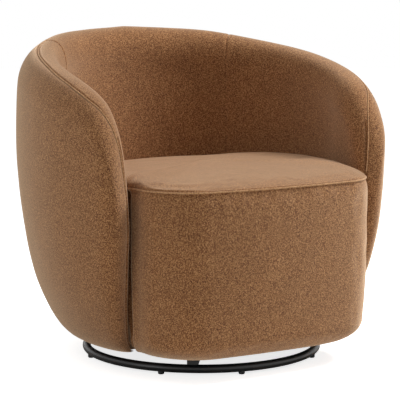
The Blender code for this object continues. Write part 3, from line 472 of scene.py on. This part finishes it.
def halfThickness(angle, z, side):
    n = wall["outerRoundness"] if side > 0 else wall["innerRoundness"]
    length = wall["tipLength"] if side > 0 else wall["innerTaper"]
    share = np.clip(1 - (wall["armAngle"] - np.abs(angle)) * middleRadius / length, 0, 1)
    low = np.clip((wall["foot"] + wall["hem"] - z) / wall["hem"], 0, 1)
    return thicknessAt(z) / 2 * (1 - share ** n) ** (1 / n) * np.sqrt(1 - (low * wall["hemPinch"]) ** 2)


def wallPoint(angle, z, offset):
    turn = angle * leanAt(z)
    r = centreRadius(angle, z) + offset
    return np.stack([-r * np.sin(turn), r * np.cos(turn), z + 0 * r], -1)


def wallColumns():
    # even round the back, closer over the arm tips and beside the two panel seams
    q = np.radians(np.linspace(0, 90, wall["tipColumns"]))
    back = wall["armAngle"] - wall["tipLength"] / middleRadius
    tips = wall["armAngle"] - wall["tipLength"] * (1 - np.sin(q) ** (2 / wall["outerRoundness"])) / middleRadius
    steps = np.array([-s for s in wall["panelStepsMm"]] + [0, *wall["panelStepsMm"]]) / 1000 / middleRadius
    beside = np.concatenate([seam + steps for seam in wall["panelSeams"]])
    clear = wall["panelClear"] / middleRadius
    plain = [a for a in np.linspace(-back, back, wall["backColumns"] + 2)[1:-1]
             if min(abs(a - seam) for seam in wall["panelSeams"]) > clear]
    return np.concatenate([-tips[::-1], np.sort(np.concatenate([plain, beside])), tips])


def panelSink(angle, share=1.0):
    away = [(angle - seam) * middleRadius / wall["panelWidth"] for seam in wall["panelSeams"]]
    return share * sum(wall["panelDepth"] * math.exp(-a ** 2) for a in away)


def seamTurn(angle):
    return math.radians(90 - float(curveThrough(abs(math.degrees(angle)), *wallCurves["seam"])))


def rollPoint(angle, turns, sink=0.0):
    # points over the crest's roll: turn 0 is its outer foot, 180 degrees its inner foot
    start = crestAt(angle) - wall["roll"]
    c = np.cos(turns)
    half = np.where(c > 0, halfThickness(angle, start, 1), halfThickness(angle, start, -1))
    z = start + (wall["roll"] - sink) * np.sin(turns)
    return wallPoint(angle, z, np.where(half > sink, half - sink, 0) * c)


def grooveSink(angle, turns):
    # how deep the cloth dips beside the seam
    half = float(halfThickness(angle, crestAt(angle) - wall["roll"], 1))
    seam = seamTurn(angle)
    pace = math.hypot(half * math.sin(seam), wall["roll"] * math.cos(seam))
    away = (turns - seam) * max(pace, wall["leastPace"])
    return wall["grooveDepth"] * np.exp(-(away / wall["grooveWidth"]) ** 2)


def pullBackTip(points, angle, offsets):
    # the seam down the arm's front edge sits in the same groove
    if (wall["armAngle"] - abs(angle)) * middleRadius > wall["tipGroove"]:
        return points
    sink = wall["grooveDepth"] * np.exp(-(np.abs(offsets) / wall["grooveWidth"]) ** 2)
    radial = np.hypot(points[:, 0], points[:, 1])
    turn = np.arctan2(-points[:, 0], points[:, 1]) - np.sign(angle) * sink / radial
    return np.stack([-radial * np.sin(turn), radial * np.cos(turn), points[:, 2]], -1)


def overRoll(angle, turns, sink, side):
    points = np.array([rollPoint(angle, np.array([t]), s)[0] for t, s in zip(turns, sink)])
    half = halfThickness(angle, crestAt(angle) - wall["roll"], side)
    return pullBackTip(points, angle, half * np.cos(turns))


def outerColumn(angle):
    # the hem turns in under the wall, the side rises, and the rows crowd towards the seam
    half = float(halfThickness(angle, wall["foot"], 1))
    hem = wallPoint(angle, np.full(3, wall["foot"] + wall["hemLift"]), half * (1 - np.array(wall["hemShares"])))
    start = crestAt(angle) - wall["roll"]
    z = wall["foot"] + (start - wall["foot"]) * np.linspace(0, 1, wall["sideRows"]) ** 1.25
    side = halfThickness(angle, z, 1)
    turns = seamTurn(angle) * (1 - np.linspace(1, 0, wall["outerTurns"] + 1) ** 1.9)[1:]
    return np.concatenate([hem, pullBackTip(wallPoint(angle, z, side), angle, side),
                           overRoll(angle, turns, grooveSink(angle, turns), 1)])


def innerColumn(angle):
    seam = seamTurn(angle)
    turns = seam + (math.pi - seam) * (np.linspace(0, 1, wall["innerTurns"] + 1) ** 1.7)[:-1]
    sink = grooveSink(angle, turns) + panelSink(angle) * np.clip((turns - seam) * 4, 0, 1)
    start = crestAt(angle) - wall["roll"]
    z = start + (wall["innerFoot"] - start) * np.linspace(0, 1, wall["innerRows"])
    # the left panel seam fades out below the roll, the right one runs on down
    share = np.exp(-(((start - z) / wall["panelFade"]) ** 2)) if angle > 0 else wall["rightShare"]
    side = panelSink(angle, share) - halfThickness(angle, z, -1)
    return np.concatenate([overRoll(angle, turns, sink, -1), pullBackTip(wallPoint(angle, z, side), angle, side)])


def makeWallCover(name, column, outlook):
    piece = makeSurface(name, np.array([column(a) for a in columns]).transpose(1, 0, 2), clothMaterial)
    joinAndTurn(piece, outlook)
    ripple(piece, wall["ripples"])
    return piece


columns = wallColumns()
wallOuter = makeWallCover("wallOuterCover", outerColumn, (0, swivelY, 0.4))
wallInner = makeWallCover("wallInnerCover", innerColumn, (0, swivelY + 2, 0.4))
seamLine = [rollPoint(a, np.array([seamTurn(a)]), wall["cordSink"])[0]
            for a in columns[wall["cordSkips"]:-wall["cordSkips"]]]
seamCord = makeCord("wallSeamPiping", seamLine, wall["cordRadius"], weltPaintedHighlightMaterial)
print("barrel wall made:", len(columns), "columns")


# seat block: its front stands free, its sides and rear follow the wall's inner face
block = {
    "halfWidth": 0.288, "front": 0.336, "corner": 0.100, "bow": 0.030, "flare": 0.017, "flareLength": 0.100,
    "tuck": 0.026, "tuckStart": 0.027, "tuckLength": 0.045, "tuckFade": 0.010,
    "seam": 0.412, "lip": 0.0012, "turnIn": 0.006, "footTurnIn": 0.016,
    "crown": 0.029, "crownFullness": 2.5, "sideFullness": 6.0, "fall": 0.019, "crownCentre": 0.004,
    "lean": 0.008, "footRoll": 0.045, "swell": 0.004,
    "draw": 0.0035, "drawHeight": 0.014, "gap": 0.003,
    "topBand": 0.05, "bandRows": 13, "sideRows": 33, "rollRows": 22, "topRows": 44,
    "cordRadius": 0.0018, "cordProud": 0.0012,
    "frontRipples": [(0.15, 0.0012, 4), (0.045, 0.0004, 5)],
    "topRipples": [(0.17, 0.0014, 7), (0.06, 0.0004, 8)],
    # where the covers are sewn or stapled down, and how each one settles
    "topHeld": 0.004, "rearFrom": 0.1, "frontHeld": 0.003, "footHeld": 0.01, "sideHeld": 0.280,
    "topSettle": {"pressure": 0.5, "slack": 0.003, "cap": 0.0018},
    "frontSettle": {"pressure": 0.2, "slack": 0.003, "cap": 0.0015},
}
# fuller crown at the sides: places from the front as shares of a half turn, then shares of the added fullness
sideFullness = ((0.0, 0.24, 0.34, 0.56, 0.80, 1.0), (0.0, 0.0, 1.0, 1.0, 0.0, 0.0))
frontAngles = np.radians(np.linspace(-80, 80, 321))
weltAngles = np.radians(np.linspace(-72, 72, 241))


def innerFace(angles, z):
    upright = (np.pi - np.abs(angles)) / leanAt(z)
    column = np.minimum(upright, wall["armAngle"])
    face = centreRadius(column, z) - halfThickness(column, z, -1)
    return np.where(upright < wall["armAngle"], face, np.inf)


def frontFace(angles, inset, z):
    hw = block["halfWidth"] - inset
    front = block["front"] - inset
    rc = block["corner"]
    quarter = np.linspace(0, math.pi / 2, 60)[1:]
    side = np.linspace(front - rc, -hw, 240)[1:]
    behind = side[0] - side
    # the side swells out to the arm; below the seam the cloth tucks in just behind the arm's front edge
    drop = 1 - math.exp(-((block["seam"] - z) / block["tuckFade"]) ** 2)
    tucked = np.sin(math.pi * np.clip((behind - block["tuckStart"]) / block["tuckLength"], 0, 1)) ** 2
    swelled = smoothStep(np.clip(behind / block["flareLength"], 0, 1))
    out = block["flare"] * swelled - block["tuck"] * drop * tucked
    x = np.concatenate([np.linspace(0, hw - rc, 60), hw - rc + rc * np.sin(quarter), hw + out])
    y = np.concatenate([np.full(60, front), front - rc * (1 - np.cos(quarter)), side])
    y = y - block["bow"] * (x / hw) ** 2
    return np.interp(np.abs(angles), np.arctan2(x, y), np.hypot(x, y))


def narrowest(z):
    near = np.linspace(math.pi - wall["armAngle"] * float(leanAt(z)), math.pi / 2, 80)
    return near[np.argmin(innerFace(near, z) * np.sin(near))]


def blockLoop(angles, z, inset):
    front = np.where(np.abs(angles) <= narrowest(z), frontFace(angles, inset, z), np.inf)
    turn = block["gap"] / block["halfWidth"]
    near = [innerFace(np.abs(angles) + s * turn, z) for s in (-1, -0.5, 0, 0.5, 1)]
    r = np.minimum(front, np.min(near, axis=0) - block["gap"])
    return np.stack([r * np.sin(angles), -r * np.cos(angles), z + 0 * r], -1)


def blockInset(z):
    low = np.clip((wall["foot"] + block["footRoll"] - z) / block["footRoll"], 0, 1)
    fall = np.clip((block["seam"] - z) / (block["seam"] - wall["foot"]), 0, 1)
    draw = block["draw"] * np.exp(-((block["seam"] - z) / block["drawHeight"]) ** 2)
    return float(block["footRoll"] * (1 - np.sqrt(1 - low * low)) + block["lean"] * fall + draw
                 - block["swell"] * np.sin(np.pi * fall))


def makeSeatFront():
    top = block["seam"] - block["lip"]
    foot = wall["foot"] + block["footRoll"]
    heights = [top - d for d in np.linspace(0, 1, block["bandRows"] + 1)[:-1] ** 1.6 * block["topBand"]]
    heights += list(np.linspace(top - block["topBand"], foot, block["sideRows"] + 1)[:-1])
    heights += [foot - block["footRoll"] * math.sin(t) for t in np.radians(np.linspace(0, 90, block["rollRows"]))]
    loops = [blockLoop(frontAngles, top - 0.001, blockInset(top) + block["turnIn"])]
    loops += [blockLoop(frontAngles, z, blockInset(z)) for z in heights]
    loops.append(blockLoop(frontAngles, wall["foot"] + wall["hemLift"],
                           blockInset(wall["foot"]) + block["footTurnIn"]))
    piece = makeSurface("seatFrontCover", np.array(loops), clothMaterial)
    joinAndTurn(piece, (0, swivelY, 0.25))
    ripple(piece, block["frontRipples"])
    return piece


def makeSeatTop():
    angles = np.linspace(-math.pi, math.pi, 289)[:-1]
    edge = block["seam"] + block["lip"]
    outline = blockLoop(angles, edge, blockInset(edge))
    shares = np.cos(np.linspace(0, 1, block["topRows"]) * math.pi / 2) ** 0.8
    shares[-1] = block["crownCentre"]
    fullness = block["crownFullness"] + block["sideFullness"] * curveThrough(np.abs(angles) / math.pi,
                                                                             *sideFullness)
    loops = [blockLoop(angles, edge - block["lip"] / 2, blockInset(edge) + block["turnIn"])]
    for share in shares:
        loop = outline * np.array([share, share, 0])
        loop[:, 2] = edge + block["crown"] * (1 - min(share, 1.0) ** fullness) ** 0.5
        loops.append(loop)
    loops = np.array(loops)
    # the seat falls away towards the back
    behind = np.maximum(loops[:, :, 1], 0) / (wall["radius"] - wall["thickness"])
    loops[:, :, 2] -= block["fall"] * behind ** 2
    piece = makeSurface("seatTopCover", loops, clothMaterial, wrap=True, cap=True)
    joinAndTurn(piece, (0, swivelY, 0.2))
    ripple(piece, block["topRipples"])
    return piece


def topEdge(p):
    fall = block["fall"] * (p[:, 1] > block["rearFrom"])
    return np.where(p[:, 2] < block["seam"] + block["topHeld"] - fall)[0]


def frontEdges(p):
    ends = (p[:, 2] > block["seam"] - block["frontHeld"]) | (p[:, 2] < wall["foot"] + block["footHeld"])
    return np.where(ends | (np.abs(p[:, 0]) > block["sideHeld"]))[0]


seatFront = makeSeatFront()
seatTop = makeSeatTop()
settleCloth(seatTop, topEdge, **block["topSettle"])
settleCloth(seatFront, frontEdges, **block["frontSettle"])
weltLoop = blockLoop(weltAngles, block["seam"], blockInset(block["seam"]) - block["cordProud"])
seatWelt = makeCord("seatWeltCord", weltLoop, block["cordRadius"], weltPaintedHighlightMaterial)
print("seat block made")


# cloth sheets, cut to the outlines of the plain sheets that they stand for
sheets = {
    "dustCover": {"node": "dust_cover", "hole": 0.118, "margin": 0.0, "sag": 0.0018},
    "deckCloth": {"node": "deck_cloth", "hole": 0.002, "margin": 0.022, "sag": 0.0},
}
sheetForm = {"rows": 16, "waves": 9, "waveShare": 0.25, "rimShare": 0.7}
# each staple: share of its length, and height over the cloth
staples = {"spacing": 0.048, "length": 0.010, "wire": 0.0006, "inset": 0.009,
           "legs": ((0, 0.0004), (0.08, -0.0005), (0.92, -0.0005), (1, 0.0004))}


def nodeOutline(node, count=180):
    # the node's outermost reach in each direction from the swivel axis, and its middle height
    points = np.array([nodes[node].matrix_world @ v.co for v in nodes[node].data.vertices]) - [0, swivelY, 0]
    turn, reach = np.arctan2(points[:, 0], points[:, 1]), np.hypot(points[:, 0], points[:, 1])
    keep = reach > sheetForm["rimShare"] * reach.mean()     # leaves out the rim of a hole
    order = np.argsort(turn[keep])
    around = np.linspace(-math.pi, math.pi, count, endpoint=False)
    outline = np.interp(around, turn[keep][order], reach[keep][order], period=2 * math.pi)
    return around, outline, points[:, 2].mean()


def makeSheet(name, node, hole, margin, sag):
    around, reach, height = nodeOutline(node)
    grid = []
    waves = 1 + sheetForm["waveShare"] * np.sin(sheetForm["waves"] * around)
    for share in np.linspace(0, 1, sheetForm["rows"]):
        r = hole + (reach - margin - hole) * share
        z = height - sag * math.sin(math.pi * share) * waves
        grid.append(np.stack([r * np.sin(around), r * np.cos(around), z + 0 * r], -1))
    piece = makeSurface(name, np.array(grid), slotMaterials["black_cloth"], wrap=True)
    width, depth, _ = np.ptp(grid[-1], axis=0)
    return piece, (float(width), float(depth)), float(sum(f.area for f in piece.data.polygons))


def makeStaples(name, node):
    # one wire staple every few centimetres round the cloth's edge
    around, reach, height = nodeOutline(node, 720)
    reach = reach - staples["inset"]
    x, y = reach * np.sin(around), reach * np.cos(around)
    walk = np.concatenate([[0], np.cumsum(np.hypot(np.diff(x), np.diff(y)))])
    curve = bpy.data.curves.new(name, "CURVE")
    curve.dimensions = "3D"
    curve.bevel_depth = staples["wire"] / 2
    curve.bevel_resolution = 1
    for place in np.arange(0, walk[-1], staples["spacing"]):
        line = curve.splines.new("POLY")
        line.points.add(len(staples["legs"]) - 1)
        for point, (share, lift) in zip(line.points, staples["legs"]):
            at = place + share * staples["length"]
            point.co = (np.interp(at, walk, x), np.interp(at, walk, y) + swivelY, height + lift, 1)
    piece = bpy.data.objects.new(name, curve)
    bpy.context.collection.objects.link(piece)
    curve.materials.append(slotMaterials["zinc_steel"])
    return piece


dustCover, dustSize, dustArea = makeSheet("dustCover", **sheets["dustCover"])
deckCloth, deckSize, deckArea = makeSheet("deckCloth", **sheets["deckCloth"])
dustStaples = makeStaples("dustCoverStaples", "dust_cover")
print("cloth sheets made:", [round(v, 3) for v in dustSize + deckSize])


# base: a smooth tube in place of the faceted ring, and eased edges on the bars, bearing and rails
base = {"ringRadius": 0.265, "tubeRadius": 0.0095, "ringHeight": 0.0145, "barEdge": 0.0012, "edge": 0.0006,
        "ringSteps": 192, "tubeSteps": 24,
        "eased": ("cross_bar", "glide", "swivel", "front_rail", "side_rail", "rear_rail")}


def makeRing():
    u = np.linspace(0, 2 * math.pi, base["ringSteps"] + 1)[:-1]
    v = np.linspace(0, 2 * math.pi, base["tubeSteps"] + 1)[:-1]
    r = base["ringRadius"] + base["tubeRadius"] * np.cos(v)[:, None]
    z = base["ringHeight"] + base["tubeRadius"] * np.sin(v)[:, None] + 0 * u[None]
    grid = np.stack([r * np.cos(u)[None], r * np.sin(u)[None], z], -1)
    piece = makeSurface("baseTubeRing", np.concatenate([grid, grid[:1]]), slotMaterials["black_steel"], wrap=True)
    joinAndTurn(piece)
    return piece


ring = makeRing()
for name in nodes:
    if name.startswith(base["eased"]):
        ease = nodes[name].modifiers.new("easedEdges", "BEVEL")
        ease.width = base["barEdge"] if "bar" in name else base["edge"]
        ease.segments = 3
        ease.limit_method = "ANGLE"
print("base made")


# piece, body that it rides, slot, solids that it stands for, and how full a padded one is
dressed = (
    (wallOuter, "seat", "camel_weave", ["outer_cover"], 0.9),
    (wallInner, "seat", "camel_weave", ["inner_cover", "wall_foam"], 0.85),
    (seamCord, "seat", "camel_weave", ["wall_piping"], None),
    (seatFront, "seat", "camel_weave", ["front_cover", "front_foam"], 0.9),
    (seatTop, "seat", "camel_weave", ["seat_cover", "seat_foam"], 0.85),
    (seatWelt, "seat", "camel_weave", ["seat_welt"], None),
    (ring, "base", "black_steel", ["base_ring"], None),
    (dustCover, "seat", "black_cloth", ["dust_cover"], None),
    (deckCloth, "seat", "black_cloth", ["deck_cloth"], None),
    (dustStaples, "seat", "zinc_steel", [], None),
)
for piece, body, slotName, replaced, fill in dressed:
    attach(piece, body)
    if replaced:
        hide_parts(*replaced)
print("pieces dressed:", len(dressed))


# studio: white world, pale floor and five soft lamps
studio = {
    "floorColor": "#f4f4f2", "floorGlow": 0.78, "floorRadius": 12.0, "ambient": 0.32,
    # watts, size, place and aim in metres
    "lamps": {
        "keySoftbox": (80.0, 1.0, (1.8, -0.8, 2.6), (0, 0, 0.4)),
        "rightSoftbox": (6.0, 2.0, (2.6, -2.2, 1.5), (0, 0, 0.4)),
        "leftLowSoftbox": (11.0, 0.9, (-3.0, -0.5, 0.25), (0, 0, 0.35)),
        "leftRearSoftbox": (6.0, 1.6, (-2.4, 1.4, 2.2), (0, 0, 0.5)),
        "topLeftSoftbox": (8.0, 1.0, (-1.6, 0.2, 2.8), (0, 0, 0.5)),
    },
}


def addWorld():
    world = bpy.data.worlds.new("whiteStudio")
    world.use_nodes = True
    bpy.context.scene.world = world
    bpy.context.scene.view_settings.view_transform = "Standard"
    tree = world.node_tree
    light = tree.nodes["Background"]
    light.inputs["Color"].default_value = (1, 1, 1, 1)
    light.inputs["Strength"].default_value = studio["ambient"]
    seen = tree.nodes.new("ShaderNodeBackground")
    seen.inputs["Color"].default_value = (1, 1, 1, 1)
    seen.inputs["Strength"].default_value = 1.0
    path = tree.nodes.new("ShaderNodeLightPath")
    # white to the camera, to glass and to metal; only the soft light on the cloth is weaker
    whiteRay = None
    for kind in ("Is Camera Ray", "Is Glossy Ray", "Is Transmission Ray"):
        either = tree.nodes.new("ShaderNodeMath")
        either.operation = "MAXIMUM"
        either.inputs[1].default_value = 0.0
        tree.links.new(path.outputs[kind], either.inputs[0])
        if whiteRay:
            tree.links.new(whiteRay.outputs[0], either.inputs[1])
        whiteRay = either
    mix = tree.nodes.new("ShaderNodeMixShader")
    tree.links.new(whiteRay.outputs[0], mix.inputs["Fac"])
    tree.links.new(light.outputs[0], mix.inputs[1])
    tree.links.new(seen.outputs[0], mix.inputs[2])
    tree.links.new(mix.outputs[0], tree.nodes["World Output"].inputs["Surface"])


def addFloor():
    bpy.ops.mesh.primitive_circle_add(vertices=64, radius=studio["floorRadius"], fill_type="NGON")
    floor = bpy.context.object
    floor.name = "studioFloor"
    material, shader = newMaterial("matteStudioFloor", studio["floorColor"], 0.9)
    tree = material.node_tree
    shader.inputs["Specular IOR Level"].default_value = 0.0
    # the camera sees a white floor that still darkens under the object
    glow = addNode(material, "ShaderNodeEmission", {"Strength": studio["floorGlow"]})
    both = addNode(material, "ShaderNodeAddShader", links={0: (glow, "Emission"), 1: (shader, "BSDF")})
    path = addNode(material, "ShaderNodeLightPath")
    pick = addNode(material, "ShaderNodeMixShader", links={"Fac": (path, "Is Camera Ray"), 1: (shader, "BSDF"),
                                                           2: (both, "Shader")})
    tree.links.new(pick.outputs[0], tree.nodes["Material Output"].inputs["Surface"])
    floor.data.materials.append(material)


def addLamp(name, power, size, place, aim):
    data = bpy.data.lights.new(name, "AREA")
    data.energy = power
    data.size = size
    lamp = bpy.data.objects.new(name, data)
    bpy.context.collection.objects.link(lamp)
    lamp.location = place
    lamp.rotation_euler = (Vector(aim) - Vector(place)).to_track_quat("-Z", "Y").to_euler()


addWorld()
addFloor()
for name, lamp in studio["lamps"].items():
    addLamp(name, *lamp)
print("studio lit")
